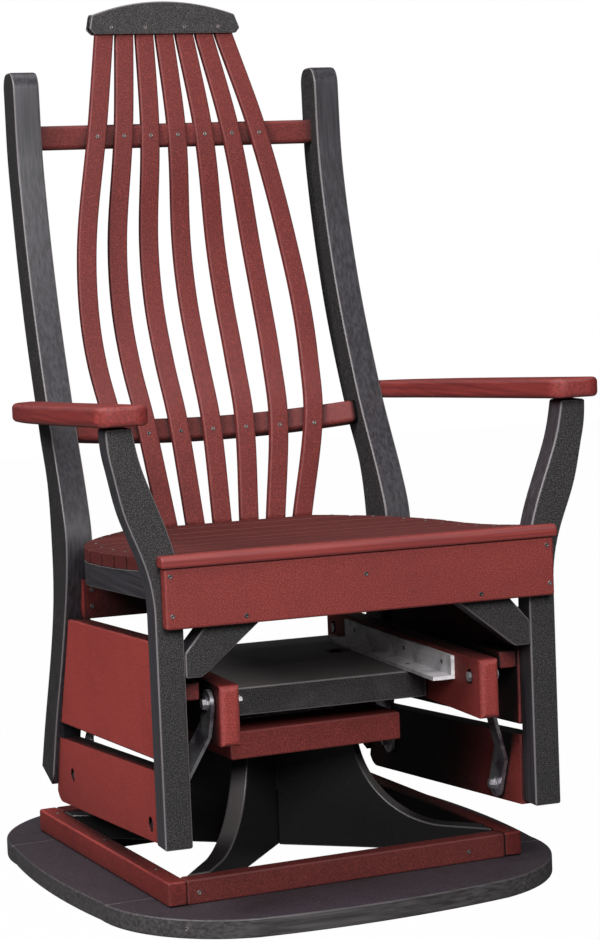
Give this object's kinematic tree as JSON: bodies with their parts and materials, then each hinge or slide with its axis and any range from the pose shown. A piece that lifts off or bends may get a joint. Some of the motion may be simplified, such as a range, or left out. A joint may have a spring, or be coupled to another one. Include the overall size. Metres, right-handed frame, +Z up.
{
  "type": "swivel glider",
  "caption": "High-back lumber armchair on glide links over a swivelling platform, with curved back slats, flared arms, slatted seat and a rounded base plate.",
  "frame": {"origin": "on the floor under the swivel axis, which is the middle of the footprint to a few millimetres", "axes": "+Z up along the swivel axis, the chair faces -Y, +X to the right of a viewer who faces it; the links swing about +X"},
  "size_m": [0.6812, 0.8017, 1.233],
  "materials": {
    "red_lumber": "fine pebbled",
    "black_lumber": "fine pebbled",
    "mill_aluminium": "mill",
    "zinc_steel": "zinc plated"
  },
  "bodies": {
    "base": {"base_board_front": "black_lumber", "base_board_left": "black_lumber", "base_board_rear": "black_lumber", "base_board_right": "black_lumber", "frame_board_front": "red_lumber", "frame_board_left": "red_lumber", "frame_board_rear": "red_lumber", "frame_board_right": "red_lumber", "mount_board": "red_lumber", "pedestal_board_a": "black_lumber", "pedestal_board_b": "black_lumber", "turntable_lower": "zinc_steel"},
    "swivel": {"glide_rail_left": "red_lumber", "glide_rail_right": "red_lumber", "platform": "black_lumber", "rail_angle_left": "mill_aluminium", "rail_angle_right": "mill_aluminium", "rail_bolts": "zinc_steel", "turntable_upper": "zinc_steel"},
    "front_left_link": {"link_front_left": "zinc_steel"},
    "front_right_link": {"link_front_right": "zinc_steel"},
    "rear_left_link": {"link_rear_left": "zinc_steel"},
    "rear_right_link": {"link_rear_right": "zinc_steel"},
    "chair": {"apron_front": "red_lumber", "apron_rear": "red_lumber", "arm_left": "red_lumber", "arm_right": "red_lumber", "back_rail_lower": "red_lumber", "back_rail_upper": "red_lumber", "back_slat_1": "red_lumber", "back_slat_2": "red_lumber", "back_slat_3": "red_lumber", "back_slat_4": "red_lumber", "back_slat_5": "red_lumber", "back_slat_6": "red_lumber", "back_slat_7": "red_lumber", "corner_braces": "black_lumber", "crest": "black_lumber", "leg_left": "black_lumber", "leg_right": "black_lumber", "lower_panel_left": "red_lumber", "lower_panel_right": "red_lumber", "panel_bolts": "zinc_steel", "panel_cleats": "red_lumber", "post_left": "black_lumber", "post_right": "black_lumber", "seat_nosing": "red_lumber", "seat_rail_left": "black_lumber", "seat_rail_right": "black_lumber", "seat_slat_1": "red_lumber", "seat_slat_2": "red_lumber", "seat_slat_3": "red_lumber", "seat_slat_4": "red_lumber", "seat_slat_5": "red_lumber", "seat_slat_6": "red_lumber", "seat_slat_7": "red_lumber", "seat_slat_8": "red_lumber", "seat_slat_9": "red_lumber", "upper_panel_left": "red_lumber", "upper_panel_right": "red_lumber"}
  },
  "joints": [
    {"name": "swivel_turn", "type": "hinge", "parent": "base", "child": "swivel", "pos_m": [0, 0, 0.2355], "axis": [0, 0, 1], "continuous": true},
    {"name": "glide", "type": "hinge", "parent": "swivel", "child": "front_left_link", "pos_m": [-0.1937, -0.34, 0.297], "axis": [1, 0, 0], "range_deg": [-8, 8]},
    {"name": "chair_rock", "type": "hinge", "parent": "front_left_link", "child": "chair", "pos_m": [-0.1937, -0.27257, 0.1366], "axis": [1, 0, 0], "range_deg": [-10.5, 10.5]},
    {"name": "glide_front_right", "type": "hinge", "parent": "swivel", "child": "front_right_link", "pos_m": [0.1937, -0.34, 0.297], "axis": [1, 0, 0], "range_deg": [-8.1, 8.1]},
    {"name": "glide_rear_left", "type": "hinge", "parent": "swivel", "child": "rear_left_link", "pos_m": [-0.1937, 0.158, 0.297], "axis": [1, 0, 0], "range_deg": [-8.1, 8.1]},
    {"name": "glide_rear_right", "type": "hinge", "parent": "swivel", "child": "rear_right_link", "pos_m": [0.1937, 0.158, 0.297], "axis": [1, 0, 0], "range_deg": [-8.1, 8.1]}
  ],
  "couplings": [
    {"joint": "chair_rock", "follows": "glide", "ratio": -1.2872},
    {"joint": "glide_front_right", "follows": "glide", "ratio": 1},
    {"joint": "glide_rear_left", "follows": "glide", "ratio": 0.9426},
    {"joint": "glide_rear_right", "follows": "glide", "ratio": 0.9426}
  ]
}
